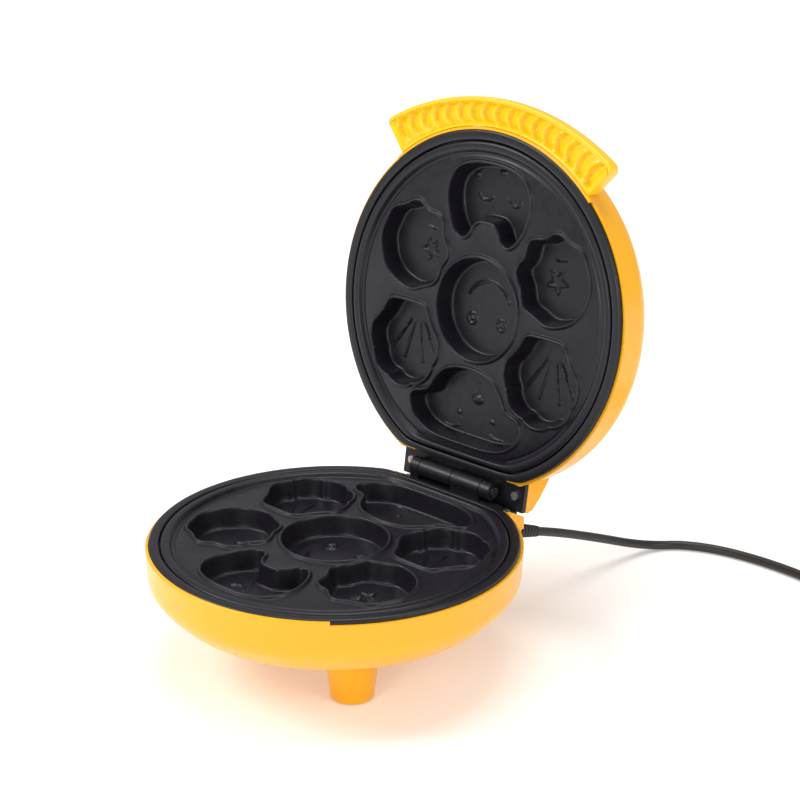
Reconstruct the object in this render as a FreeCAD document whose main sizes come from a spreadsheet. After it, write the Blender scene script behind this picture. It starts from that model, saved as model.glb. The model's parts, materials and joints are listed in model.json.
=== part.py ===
import FreeCAD, Part
import Sketcher
import math
import os
from FreeCAD import Placement, Rotation, Vector

# A clam-shell mini cake maker: a round base on three feet and a lid that opens on a rear
# hinge, each with a heated plate of seven shaped moulds.  Millimetres, +Z up, +Y towards the
# hinge.  Everything is drawn with the lid closed and the middle of the plates on the Z axis.
# The last step swings the lid's pieces open and moves the whole object back over its origin.

DIMENSIONS = {
    "rim_radius": 105.0,        # outside of the black trim ring
    "shell_radius": 106.8,      # widest radius of the yellow shells
    "rim_height": 74.0,         # table to the base's rim plane
    "plate_gap": 1.8,           # between the two rim planes when closed
    "bowl_depth": 48.0,         # rim plane to the underside of the base
    "dome_depth": 50.0,         # rim plane to the top of the lid
    "shell_wall": 2.4,
    "plate_radius": 98.4,
    "plate_chord": 90.0,        # distance of the plate's straight rear edge
    "field_drop": 2.0,          # flat field below the rim plane
    "mould_depth": 13.0,        # mould floor below the rim plane
    "casting_wall": 2.2,
    "lip_width": 2.2,
    "lip_drop": 0.4,            # top of a mould's lip below the rim plane
    "centre_mould_radius": 30.2,
    "heater_radius": 60.0,
    "heater_tube": 3.3,
    "post_circle": 84.0,
    "post_radius": 4.2,
    "screw_radius": 1.5,
    "hinge_offset": 104.2,
    "hinge_rise": 3.3,          # hinge axis above the base's rim plane
    "barrel_radius": 5.5,
    "pin_radius": 2.0,
    "pin_clearance": 0.05,
    "open_angle": 98.1,
    "block_half_width": 47.5,
    "foot_pad_height": 1.0,
    "foot_radius": 12.3,
    "foot_spread": 42.0,
    "foot_forward": 29.5,
    "handle_radius": 157.0,     # of the grip's outer arc
    "handle_setback": 33.5,     # that arc's middle, behind the plates' middle
    "handle_lip": 2.8,          # thickness of the grip's outer edge
    "handle_half_angle": 41.0,
    "handle_height": 10.4,
    "cord_diameter": 5.6,
    "cord_side": 38.0,
    "cord_drop": 20.5,
    "cord_tilt": 19.5,
    "coil_radius": 31.0,
    "centre_shift": 34.1,
}

doc = FreeCAD.newDocument("MiniCakeMaker")
sheet = doc.addObject("Spreadsheet::Sheet", "Sizes")
for row, (alias, number) in enumerate(DIMENSIONS.items(), 1):
    sheet.set("A%d" % row, alias)
    sheet.set("B%d" % row, str(number))
    sheet.setAlias("B%d" % row, alias)
doc.recompute()


class Size:
    """A length or angle with both its number and its spreadsheet formula."""

    def __init__(self, text, number):
        self.text = text
        self.number = number

    def join(self, sign, other, number):
        return Size("(%s %s %s)" % (self.text, sign, as_size(other).text), number)

    def __add__(self, other):
        return self.join("+", other, self.number + as_size(other).number)

    def __radd__(self, other):
        return as_size(other) + self

    def __sub__(self, other):
        return self.join("-", other, self.number - as_size(other).number)

    def __rsub__(self, other):
        return as_size(other) - self

    def __mul__(self, other):
        return self.join("*", other, self.number * as_size(other).number)

    def __rmul__(self, other):
        return as_size(other) * self

    def __neg__(self):
        return self * -1.0


def as_size(value):
    if isinstance(value, Size):
        return value
    return Size("(%.6f)" % value, float(value))


def size(alias):
    return Size("Sizes." + alias, float(getattr(sheet, alias)))


def bind(item, prop, value):
    """Set a property to a plain number, or bind it to the sheet."""
    if isinstance(value, Size):
        item.setExpression(prop, value.text)
        return
    names = prop.split(".")
    if names[0] == "Placement":
        base = item.Placement.Base
        setattr(base, names[2], float(value))
        item.Placement = Placement(base, item.Placement.Rotation)
        return
    setattr(item, prop, value)


RIM = size("rim_height")
LID_RIM = RIM + size("plate_gap")
WALL = size("shell_wall")
SHELL = size("shell_radius")
HINGE_Y = size("hinge_offset")
HINGE_Z = RIM + size("hinge_rise")
BARREL = size("barrel_radius")
BLOCK = size("block_half_width")
REAR_WALL = 110.6               # outside of the base's rear wall
BODY_OF = {"lower": "base", "upper": "lid"}
OUTER_ROUNDS = ((3, 14.0), (4, 20.0), (5, 30.0))    # corner of the shell's outline, radius
INNER_ROUNDS = ((4, 11.6), (5, 17.6), (6, 27.6))
POST_ANGLES = (0, 180, 236, 304)                    # screw posts round the plate, degrees
CLAMP_ANGLES = (30, 150, 270)                       # heater clamps round the plate, degrees
BASE_KNUCKLES = ((-33.5, -27.0), (-1.0, 21.0))      # left and right end of each knuckle
LID_KNUCKLES = ((-26.4, -1.6), (21.6, 28.6))
HINGE_SCREWS = {"lower": ((-38.9, 104.0), (38.9, 104.0)), "upper": ((-41.0, 104.0), (41.0, 104.0))}
GRIP_SCREW = 1.2
GRIP_SCREW_AT = LID_RIM + 8.6

parts = {}


def level(side, depth):
    """A height: depth into the base below its rim plane, or into the lid above its own."""
    if side == "lower":
        return RIM - depth
    return LID_RIM + depth


# ---------------------------------------------------------------- drawing helpers

def primitive(kind, name, where=(0, 0, 0), turn=None, **sizes):
    item = doc.addObject("Part::" + kind, name)
    if turn is not None:
        item.Placement = Placement(Vector(), turn)
    for prop, value in sizes.items():
        bind(item, prop, value)
    for axis, value in zip("xyz", where):
        bind(item, "Placement.Base." + axis, value)
    return item


ALONG_X = Rotation(Vector(0, 1, 0), 90)
ALONG_Y = Rotation(Vector(1, 0, 0), -90)
CORD_TURN = Rotation(Vector(1, 0, 0), -90 - size("cord_tilt").number)


def along_cord(distance):
    """A point on the line along which the cord leaves the base, from its rear wall."""
    tilt = math.radians(size("cord_tilt").number)
    return (size("cord_side"), REAR_WALL + distance * math.cos(tilt),
            RIM - size("cord_drop") - distance * math.sin(tilt))


def cylinder(name, radius, height, where, turn=None, angle=360):
    return primitive("Cylinder", name, where, turn, Radius=radius, Height=height, Angle=angle)


def cone(name, radius_1, radius_2, height, where, turn=None):
    return primitive("Cone", name, where, turn, Radius1=radius_1, Radius2=radius_2, Height=height)


def box(name, length, width, height, where):
    return primitive("Box", name, where, None, Length=length, Width=width, Height=height)


def fuse(name, items):
    item = doc.addObject("Part::MultiFuse", name)
    item.Shapes = items
    return item


def cut(name, base, tools):
    tool = tools[0] if len(tools) == 1 else fuse(name + "Tools", tools)
    item = doc.addObject("Part::Cut", name)
    item.Base = base
    item.Tool = tool
    return item


def common(name, base, tool):
    item = doc.addObject("Part::Common", name)
    item.Base = base
    item.Tool = tool
    return item


def group(name, items):
    item = doc.addObject("Part::Compound", name)
    item.Links = items
    return item


def feature(name, shape):
    item = doc.addObject("Part::Feature", name)
    item.Shape = shape
    return item


def origin_plane(body, role):
    for plane in body.Origin.OriginFeatures:
        if plane.Role == role:
            return plane
    raise ValueError(role)


def outline_sketch(body, name, role, outline):
    """A closed outline of straight lines, each corner held by two bound distances."""
    sketch = body.newObject("Sketcher::SketchObject", name)
    sketch.AttachmentSupport = [(origin_plane(body, role), "")]
    sketch.MapMode = "FlatFace"
    corners = []
    for across, up in outline:
        corners.append(Vector(as_size(across).number, as_size(up).number, 0))
    for start, end in zip(corners, corners[1:] + corners[:1]):
        sketch.addGeometry(Part.LineSegment(start, end), False)
    count = len(corners)
    for index in range(count):
        sketch.addConstraint(Sketcher.Constraint("Coincident", index, 2, (index + 1) % count, 1))
    for index, (across, up) in enumerate(outline):
        for kind, axis, value in (("DistanceX", -2, across), ("DistanceY", -1, up)):
            value = as_size(value)
            if abs(value.number) < 1e-9:
                sketch.addConstraint(Sketcher.Constraint("PointOnObject", index, 1, axis))
                continue
            rule = sketch.addConstraint(
                Sketcher.Constraint(kind, -1, 1, index, 1, value.number))
            sketch.setExpression("Constraints[%d]" % rule, value.text)
    return sketch


def turned(name, outline, rounds=()):
    """A body turned about Z from an outline of (radius, height), with some edges rounded."""
    body = doc.addObject("PartDesign::Body", name)
    sketch = outline_sketch(body, name + "Outline", "XZ_Plane", outline)
    turn = body.newObject("PartDesign::Revolution", name + "Turn")
    turn.Profile = sketch
    turn.ReferenceAxis = (sketch, ["V_Axis"])
    turn.Angle = 360
    sketch.Visibility = False
    body.Tip = turn
    doc.recompute()
    for number, (radius, height, rounding) in enumerate(rounds):
        last = body.Tip
        edges = circles_at(last.Shape, as_size(radius).number, as_size(height).number)
        fillet = body.newObject("PartDesign::Fillet", "%sRound%d" % (name, number))
        fillet.Base = (last, edges)
        bind(fillet, "Radius", rounding)
        body.Tip = fillet
        doc.recompute()
    return body


def circles_at(shape, radius, height):
    names = []
    for number, edge in enumerate(shape.Edges, 1):
        if not isinstance(edge.Curve, Part.Circle):
            continue
        centre = edge.Curve.Center
        near_axis = math.hypot(centre.x, centre.y) < 0.01
        if near_axis and abs(edge.Curve.Radius - radius) < 0.01 and abs(centre.z - height) < 0.01:
            names.append("Edge%d" % number)
    return names


def prism(name, role, outline, length, offset=0.0, symmetric=False):
    """A body padded from an outline drawn on one of its origin planes."""
    body = doc.addObject("PartDesign::Body", name)
    sketch = outline_sketch(body, name + "Outline", role, outline)
    sketch.AttachmentOffset = Placement(Vector(0, 0, as_size(offset).number), Rotation())
    if isinstance(offset, Size):
        sketch.setExpression("AttachmentOffset.Base.z", offset.text)
    pad = body.newObject("PartDesign::Pad", name + "Pad")
    pad.Profile = sketch
    bind(pad, "Length", length)
    pad.Midplane = symmetric
    sketch.Visibility = False
    body.Tip = pad
    return body


def rounded_path(points, wire_name, report=False):
    """Straight runs joined by tangent arcs, each arc as large as its two runs allow."""
    edges = []
    start = points[0]
    radii = []
    length = 0.0
    for before, corner, after in zip(points, points[1:], points[2:]):
        inward = (before - corner).normalize()
        outward = (after - corner).normalize()
        turn = math.pi - inward.getAngle(outward)
        back = 0.45 * min((before - corner).Length, (after - corner).Length)
        radius = back / math.tan(turn / 2)
        first = corner + inward * back
        last = corner + outward * back
        halfway = (inward + outward).normalize()
        centre = corner + halfway * math.hypot(back, radius)
        middle = centre - halfway * radius
        edges.append(Part.LineSegment(start, first).toShape())
        edges.append(Part.Arc(first, middle, last).toShape())
        length += (first - start).Length + radius * turn
        radii.append(radius)
        start = last
    edges.append(Part.LineSegment(start, points[-1]).toShape())
    length += (points[-1] - start).Length
    if report:
        print("%s arc radii:" % wire_name, " ".join("%.1f" % radius for radius in radii))
    return Part.Wire(edges), length


def tube(name, points, radius, report=False):
    points = [Vector(*point) for point in points]
    path, length = rounded_path(points, name, report)
    ring = Part.Wire(Part.Circle(points[0], points[1] - points[0], radius).toShape())
    shape = path.makePipeShell([ring], True, False)
    expected = math.pi * radius * radius * length
    if report:
        print("%s length %.1f, volume ratio %.4f" % (name, length, shape.Volume / expected))
    if abs(shape.Volume / expected - 1) > 0.01:
        raise ValueError(name + " tube volume")
    return feature(name, shape)


def sub_part(label, item, moves_with="base"):
    """Name a finished piece; the compound round it carries its place and its label."""
    piece = item if item.TypeId == "Part::Compound" else group(label + "_piece", [item])
    piece.Label = label
    parts[label] = (piece, moves_with)


# ---------------------------------------------------------------- mould outlines

def smooth_closed(corners, steps=2):
    """Points on a closed smooth curve through the corners (Catmull-Rom)."""
    count = len(corners)
    points = []
    for index in range(count):
        p0, p1, p2, p3 = [corners[(index + shift - 1) % count] for shift in range(4)]
        for step in range(steps):
            f = step / steps
            weights = (-0.5 * f + f * f - 0.5 * f ** 3,
                       1 - 2.5 * f * f + 1.5 * f ** 3,
                       0.5 * f + 2 * f * f - 1.5 * f ** 3,
                       -0.5 * f * f + 0.5 * f ** 3)
            x = sum(w * p[0] for w, p in zip(weights, (p0, p1, p2, p3)))
            y = sum(w * p[1] for w, p in zip(weights, (p0, p1, p2, p3)))
            points.append((x, y))
    return points


def mirrored(half):
    """A closed outline from its right half, which starts and ends on the middle line."""
    return half + [(-x, y) for x, y in reversed(half[1:-1])]


def circle_outline():
    radius = size("centre_mould_radius").number
    return [(radius * math.cos(a), radius * math.sin(a)) for a in ring_angles(16)]


def ring_angles(count):
    return [2 * math.pi * index / count for index in range(count)]


def shell_outline(centre_x, centre_y):
    """A scallop: five bulges round the top and a short straight foot."""
    bulges = 5
    steps = 5
    start = math.radians(-24)
    sweep = math.radians(228)
    points = []
    for index in range(bulges * steps + 1):
        share = index / (bulges * steps)
        angle = start + sweep * share
        radius = 24.4 + 2.0 * math.sqrt(math.sin(math.pi * ((share * bulges) % 1.0)))
        points.append((radius * math.cos(angle), radius * math.sin(angle)))
    foot = [(-18.2, -15.6), (-16.0, -20.0), (-12.5, -24.2), (-4.2, -25.0), (4.2, -25.0),
            (12.5, -24.2), (16.0, -20.0), (18.2, -15.6)]
    return [(x + centre_x, y + centre_y) for x, y in points + foot]


def cloud_outline(side):
    """A cloud: smooth on the outside, with bulges towards the middle of the plate."""
    points = []
    for angle in ring_angles(48):
        bumpy = 0.5 + 0.5 * math.cos(angle + math.radians(38))
        radius = 25.2 + 1.7 * bumpy * math.cos(8 * angle)
        points.append((side * (radius * math.cos(angle) - 53.5), radius * math.sin(angle) - 28.2))
    return points if side > 0 else points[::-1]


CAT_HALF = [(0, -52.8), (6.0, -52.2), (10.0, -48.4), (12.6, -43.2), (16.8, -40.6), (21.8, -43.2),
            (27.2, -51.5), (30.2, -62.5), (29.0, -73.0), (23.2, -80.6), (12.6, -84.6), (0, -85.6)]
DOG_HALF = [(0, 81.0), (19.0, 80.6), (31.0, 77.9), (39.6, 71.6), (42.6, 64.2), (40.0, 59.4),
            (33.6, 57.6), (28.4, 54.6), (24.6, 47.8), (18.2, 41.0), (9.2, 37.6), (0, 36.8)]


def mould_outlines():
    return {
        "centre": circle_outline(),
        "cat": smooth_closed(mirrored(CAT_HALF)),
        "dog": smooth_closed(mirrored(DOG_HALF)),
        "left_shell": shell_outline(-53.0, 31.5),
        "right_shell": shell_outline(53.0, 31.5),
        "left_cloud": cloud_outline(1),
        "right_cloud": cloud_outline(-1),
    }


def offset_outline(points, distance):
    """The outline moved outwards by a distance along its own normals."""
    count = len(points)
    area = sum(points[i - 1][0] * points[i][1] - points[i][0] * points[i - 1][1]
               for i in range(count))
    turn = 1 if area > 0 else -1
    moved = []
    for index, (x, y) in enumerate(points):
        x0, y0 = points[index - 1]
        x1, y1 = points[(index + 1) % count]
        run = math.hypot(x1 - x0, y1 - y0)
        moved.append((x + turn * distance * (y1 - y0) / run, y - turn * distance * (x1 - x0) / run))
    return moved


def ring_wire(points, height):
    curve = Part.BSplineCurve()
    curve.interpolate(Points=[Vector(x, y, height) for x, y in points], PeriodicFlag=True)
    return Part.Wire(curve.toShape())


def drafted(points, first, last):
    """A solid between two offset copies of an outline; first and last are (offset, height)."""
    wires = [ring_wire(offset_outline(points, offset), height) for offset, height in (first, last)]
    return Part.makeLoft(wires, True, True)


# ---------------------------------------------------------------- shells

def shell_sections(side):
    """Outer and inner outlines of one shell as turned solids."""
    depth = size("bowl_depth") if side == "lower" else size("dome_depth")
    crown = 0.0 if side == "lower" else 1.5
    outer = [(0, level(side, 0.6)), (SHELL - 0.6, level(side, 0.6)), (SHELL, level(side, 1.4)),
             (SHELL - 0.9, level(side, 22.5)), (SHELL - 14.3, level(side, depth - 11.6)),
             (SHELL - 52.0, level(side, depth - crown)), (0, level(side, depth))]
    inner = [(0, level(side, 0)), (SHELL - 1.7, level(side, 0)), (SHELL - 1.7, level(side, 3.2)),
             (SHELL - 4.6, level(side, 3.2)), (SHELL - 3.3, level(side, 21.5)),
             (SHELL - 15.6, level(side, depth - 13.7)),
             (SHELL - 52.4, level(side, depth - crown - WALL)), (0, level(side, depth - WALL))]
    return outer, inner


def shell_rounds(outline, sizes):
    return [(outline[index][0], outline[index][1], radius) for index, radius in sizes]


def rear_block(side):
    """The block behind the bowl or dome that carries the hinge, drawn in the YZ plane."""
    if side == "upper":
        profile = [(78.0, RIM + 12.2), (113.2, RIM + 12.2), (114.0, RIM + 14.0),
                   (112.5, RIM + 18.5), (106.6, RIM + 24.0), (96.0, RIM + 31.0), (78.0, RIM + 36.0)]
        return prism("upperBlock", "YZ_Plane", profile, BLOCK * 2, symmetric=True)
    ears = [(78.0, RIM - 16.5), (78.0, RIM - 4.6), (102.5, RIM - 4.6), (REAR_WALL, RIM - 8.9),
            (REAR_WALL, RIM - 16.5)]
    under = [(78.0, RIM - 30.0), (78.0, RIM - 16.5), (REAR_WALL, RIM - 16.5), (REAR_WALL, RIM - 25.0),
             (107.0, RIM - 27.0), (90.0, RIM - 30.0)]
    return fuse("lowerBlock", [
        prism("lowerEars", "YZ_Plane", ears, BLOCK * 2, symmetric=True),
        prism("lowerUnder", "YZ_Plane", under, BLOCK * 2 - 4.0, symmetric=True)])


def screw_posts(side):
    """Four posts that hold the plate: columns, counterbores and screw holes."""
    columns = []
    bores = []
    reach = (size("bowl_depth") if side == "lower" else size("dome_depth")) - 10.5
    for number, angle in enumerate(POST_ANGLES):
        x = size("post_circle") * math.cos(math.radians(angle))
        y = size("post_circle") * math.sin(math.radians(angle))
        top = 4.6
        base = level(side, reach) if side == "lower" else level(side, top)
        name = "%sPost%d" % (side, number)
        columns.append(cylinder(name, size("post_radius"), reach - top, (x, y, base)))
        bore_base = level(side, 30.2) if side == "lower" else level(side, top - 0.5)
        bores.append(cylinder(name + "Bore", size("screw_radius") + 0.05, 26.4, (x, y, bore_base)))
        if side == "lower":
            bores.append(cylinder(name + "Sink", 3.2, 16.0, (x, y, level(side, 46))))
    return columns, bores


def lower_housing():
    outer, inner = shell_sections("lower")
    bowl = turned("lowerBowl", outer, shell_rounds(outer, OUTER_ROUNDS))
    inside = turned("lowerInside", inner, shell_rounds(inner, INNER_ROUNDS))
    bowl_twin = turned("lowerBowlTwin", outer, shell_rounds(outer, OUTER_ROUNDS))
    wire_way = box("lowerWireWay", 60.0, 40.0, 9.0, (-15.0, 78.0, RIM - 25.5))
    bowl_wall = cut("lowerBowlWall", bowl, [inside, wire_way])
    pad = size("foot_pad_height")
    legs = []
    hollows = []
    for side in (-1, 1):
        where = (size("foot_spread") * side, -size("foot_forward"))
        foot = size("foot_radius")
        legs.append(cone("leg%d" % side, foot, foot + 4.2, 42.0 - pad, where + (pad,)))
        hollows.append(cone("legHollow%d" % side, foot - WALL, foot + 4.2 - WALL,
                            42.0 - pad, where + (pad + WALL,)))
    heel = prism("heel", "XZ_Plane", [(-15.0, pad), (15.0, pad), (19.0, pad + 41.0),
                                      (-19.0, pad + 41.0)], 14.0, offset=-92.0)
    block_room = box("lowerBlockRoom", BLOCK * 2 - 8.8, 28.2, 11.0, (4.4 - BLOCK, 80.0, RIM - 24.6))
    stand = cut("lowerStand", fuse("lowerLegs", legs + [heel]), [inside] + hollows)
    exit_hole = cylinder("cordHole", 3.7, 12.0, along_cord(-6.0), CORD_TURN)
    block = cut("lowerBlockWall", rear_block("lower"), [block_room, exit_hole])
    block = cut("lowerBlockTrim", block, [bowl_twin])
    columns, bores = screw_posts("lower")
    body = fuse("lowerMass", [bowl_wall, stand, block])
    notch = box("lowerHingeNotch", 85.0, 24.0, 14.0, (-42.5, 95.8, RIM - 10.0))
    hollow = cut("lowerHollow", body, [notch])
    with_posts = fuse("lowerWithPosts", [hollow] + columns)
    rim_step = rim_relief("lower")
    screws = hinge_screw_holes("lower")
    sub_part("lower_housing", cut("lowerHousing", with_posts, bores + screws + [rim_step]))


def rim_relief(side):
    """The yellow edge is cut back by 2.0 except across the front, where it stays full."""
    low = level(side, 2.6) if side == "lower" else level(side, 0.6)
    ring = cylinder(side + "ReliefRing", SHELL + 1.0, 2.0, (0, 0, low),
                    Rotation(Vector(0, 0, 1), -47), 274)
    return cut(side + "Relief", ring, [cylinder(side + "ReliefCore", size("rim_radius") - 1.0,
                                                4.0, (0, 0, low - 1.0))])


def upper_housing():
    outer, inner = shell_sections("upper")
    dome = turned("upperDome", outer, shell_rounds(outer, OUTER_ROUNDS))
    inside = turned("upperInside", inner, shell_rounds(inner, INNER_ROUNDS))
    dome_twin = turned("upperDomeTwin", outer, shell_rounds(outer, OUTER_ROUNDS))
    columns, bores = screw_posts("upper")
    dome_wall = cut("upperDomeWall", dome, [inside])
    block_room = box("upperBlockRoom", BLOCK * 2 - WALL * 2, 20.0, 10.0,
                     (WALL - BLOCK, 82.0, RIM + 17.4))
    block = cut("upperBlockWall", rear_block("upper"), [block_room])
    block = cut("upperBlockTrim", block, [dome_twin])
    body = fuse("upperMass", [dome_wall, block])
    notch = box("upperHingeNotch", 104.0, 24.0, 14.2, (-52.0, 95.8, RIM - 2.0))
    hollow = cut("upperHollow", body, [notch])
    with_posts = fuse("upperWithPosts", [hollow] + columns)
    lamp_holes = [cylinder("lampHole%d" % side, 3.1, 14.0, (9.0 * side, -58.0, LID_RIM + 40.0))
                  for side in (-1, 1)]
    screws = hinge_screw_holes("upper") + handle_screw_holes()
    cutters = bores + lamp_holes + screws + [rim_relief("upper")]
    sub_part("upper_housing", cut("upperHousing", with_posts, cutters), "lid")
    return outer


def trim_ring(side):
    """The black ring round a plate: a flat face, a shelf under the plate, a bar at the rear."""
    rim = size("rim_radius")
    outline = [(99.4, level(side, 0)), (rim - 0.6, level(side, 0)), (rim, level(side, 0.6)),
               (rim, level(side, 3.1)), (102.0, level(side, 3.1)), (102.0, level(side, 6.2)),
               (96.0, level(side, 6.2)), (96.0, level(side, 4.7)), (99.4, level(side, 4.7))]
    ring = turned(side + "Ring", outline)
    low = level(side, 7.0) if side == "lower" else level(side, -1.0)
    away = box(side + "RingAway", 130.0, 20.0, 8.0, (-65.0, 91.0, low))
    bar_low = level(side, 3.1) if side == "lower" else level(side, 0)
    bar = common(side + "Bar", box(side + "BarBox", 104.0, 4.6, 3.1, (-52.0, 91.0, bar_low)),
                 cylinder(side + "BarDisc", rim, 3.1, (0, 0, bar_low)))
    body = fuse(side + "Trim", [cut(side + "RingCut", ring, [away]), bar])
    sub_part(side + "_trim_ring", body, BODY_OF[side])


# ---------------------------------------------------------------- plates and heating

def plate(side):
    """The cast plate: a disc with a rolled edge, seven lips, seven cups and seven moulds."""
    radius = size("plate_radius")
    field = size("field_drop")
    outline = [(0, level(side, 4.6)), (radius, level(side, 4.6)), (radius, level(side, 1.0)),
               (radius - 1.0, level(side, 0)), (radius - 5.4, level(side, 0)),
               (radius - 6.6, level(side, field + 0.8)), (radius - 8.4, level(side, field + 0.8)),
               (radius - 9.2, level(side, field)), (0, level(side, field))]
    disc = turned(side + "Disc", outline)
    low = level(side, 6.0) if side == "lower" else level(side, -1.0)
    chord = box(side + "Chord", 120.0, 20.0, 7.0, (-60.0, size("plate_chord"), low))
    lip_top = level(side, size("lip_drop")).number
    floor = level(side, size("mould_depth")).number
    under = level(side, size("mould_depth") + size("casting_wall")).number
    field_at = level(side, field + 1.0).number
    wide = size("lip_width").number
    wall = size("casting_wall").number
    raised = []
    moulds = []
    for name, points in mould_outlines().items():
        lip = drafted(points, (wide, field_at), (wide - 0.7, lip_top))
        cup = drafted(points, (wall, field_at), (wall - 1.8, under))
        mould = drafted(points, (0.0, lip_top), (-1.8, floor))
        raised += [feature("%s_%s_lip" % (side, name), lip), feature("%s_%s_cup" % (side, name), cup)]
        moulds.append(feature("%s_%s_mould" % (side, name), mould))
    solid = fuse(side + "Casting", [cut(side + "DiscCut", disc, [chord])] + raised)
    holes = []
    for number, angle in enumerate(POST_ANGLES):
        x = size("post_circle") * math.cos(math.radians(angle))
        y = size("post_circle") * math.sin(math.radians(angle))
        low = level(side, 5.0) if side == "lower" else level(side, 2.9)
        holes.append(cylinder("%sPlateHole%d" % (side, number), size("screw_radius") + 0.05,
                              2.1, (x, y, low)))
    sub_part(side + "_plate", cut(side + "Plate", solid, moulds + holes), BODY_OF[side])


def plate_screws(side):
    screws = []
    for number, angle in enumerate(POST_ANGLES):
        x = size("post_circle") * math.cos(math.radians(angle))
        y = size("post_circle") * math.sin(math.radians(angle))
        name = "%sPlateScrew%d" % (side, number)
        low = level(side, 30.2) if side == "lower" else level(side, 3.0)
        shank = cylinder(name + "Shank", size("screw_radius"), 27.2, (x, y, low))
        head_at = level(side, 32.2)
        if side == "lower":
            head = cylinder(name + "Head", 3.0, 2.0, (x, y, head_at))
            screws.append(fuse(name, [shank, head]))
        else:
            screws.append(shank)
    sub_part(side + "_plate_screws", group(side + "PlateScrews", screws), BODY_OF[side])


def heater(side):
    """A tubular element in an open ring under the cups, with two pins towards the rear."""
    centre = size("mould_depth") + size("casting_wall") + size("heater_tube") + 0.05
    gap = 10.0
    ring = primitive("Torus", side + "HeaterRing", (0, 0, level(side, centre)),
                     Rotation(Vector(0, 0, 1), 90 + gap), Radius1=size("heater_radius"),
                     Radius2=size("heater_tube"), Angle3=360 - 2 * gap)
    pins = []
    for sign in (-1, 1):
        angle = math.radians(90 + sign * (gap + 3))
        start = size("heater_radius")
        where = (start * math.cos(angle), start * math.sin(angle), level(side, centre))
        turn = Rotation(Vector(0, 0, 1), math.degrees(angle)).multiply(ALONG_X)
        pins.append(cylinder("%sHeaterPin%d" % (side, sign), 1.6, 24.0, where, turn))
    sub_part(side + "_heater", fuse(side + "Heater", [ring] + pins), BODY_OF[side])
    saddles = []
    for number, (x, y) in enumerate(clamp_spots()):
        low = level(side, 22.4) if side == "lower" else level(side, 15.25)
        saddles.append(box("%sSaddle%d" % (side, number), 14.0, 14.0, 7.15, (x - 7.0, y - 7.0, low)))
    channel = primitive("Torus", side + "SaddleChannel", (0, 0, level(side, centre)),
                        Radius1=size("heater_radius"), Radius2=size("heater_tube") + 0.02)
    clamps = [cut("%sClamp%d" % (side, number), saddle, [copy_of(channel, side, number)])
              for number, saddle in enumerate(saddles)]
    sub_part(side + "_heater_clamps", group(side + "Clamps", clamps), BODY_OF[side])


def copy_of(item, side, number):
    twin = doc.addObject("Part::Torus", "%sChannel%d" % (side, number))
    for prop in ("Radius1", "Radius2"):
        twin.setExpression(prop, "%s.%s" % (item.Name, prop))
    twin.setExpression("Placement.Base.z", "%s.Placement.Base.z" % item.Name)
    return twin


def reflector(side):
    outline = [(0, level(side, 24.6)), (73.6, level(side, 24.6)), (77.6, level(side, 20.4)),
               (78.6, level(side, 20.4)), (74.0, level(side, 25.4)), (0, level(side, 25.4))]
    dish = turned(side + "Dish", outline)
    low = level(side, 27.0) if side == "lower" else level(side, 23.0)
    holes = [cylinder("%sDishHole%d" % (side, n), 1.6, 4.0, spot + (low,))
             for n, spot in enumerate(clamp_spots())]
    sub_part(side + "_reflector", cut(side + "Reflector", dish, holes), BODY_OF[side])
    screws = []
    for number, spot in enumerate(clamp_spots()):
        name = "%sDishScrew%d" % (side, number)
        shank_low = level(side, 25.5) if side == "lower" else level(side, 22.5)
        head_low = level(side, 27.0) if side == "lower" else level(side, 25.5)
        shank = cylinder(name + "Shank", 1.5, 3.0, spot + (shank_low,))
        head = cylinder(name + "Head", 2.8, 1.5, spot + (head_low,))
        screws.append(fuse(name, [shank, head]))
    sub_part(side + "_reflector_screws", group(side + "DishScrews", screws), BODY_OF[side])


def clamp_spots():
    spots = []
    for angle in CLAMP_ANGLES:
        x = size("heater_radius") * math.cos(math.radians(angle))
        y = size("heater_radius") * math.sin(math.radians(angle))
        spots.append((x, y))
    return spots


# ---------------------------------------------------------------- hinge

def hinge_screw_holes(side):
    low = RIM - 15.0 if side == "lower" else RIM + 11.2
    return [cylinder("%sHingeHole%d" % (side, n), size("screw_radius") + 0.05, 6.0, spot + (low,))
            for n, spot in enumerate(HINGE_SCREWS[side])]


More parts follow.
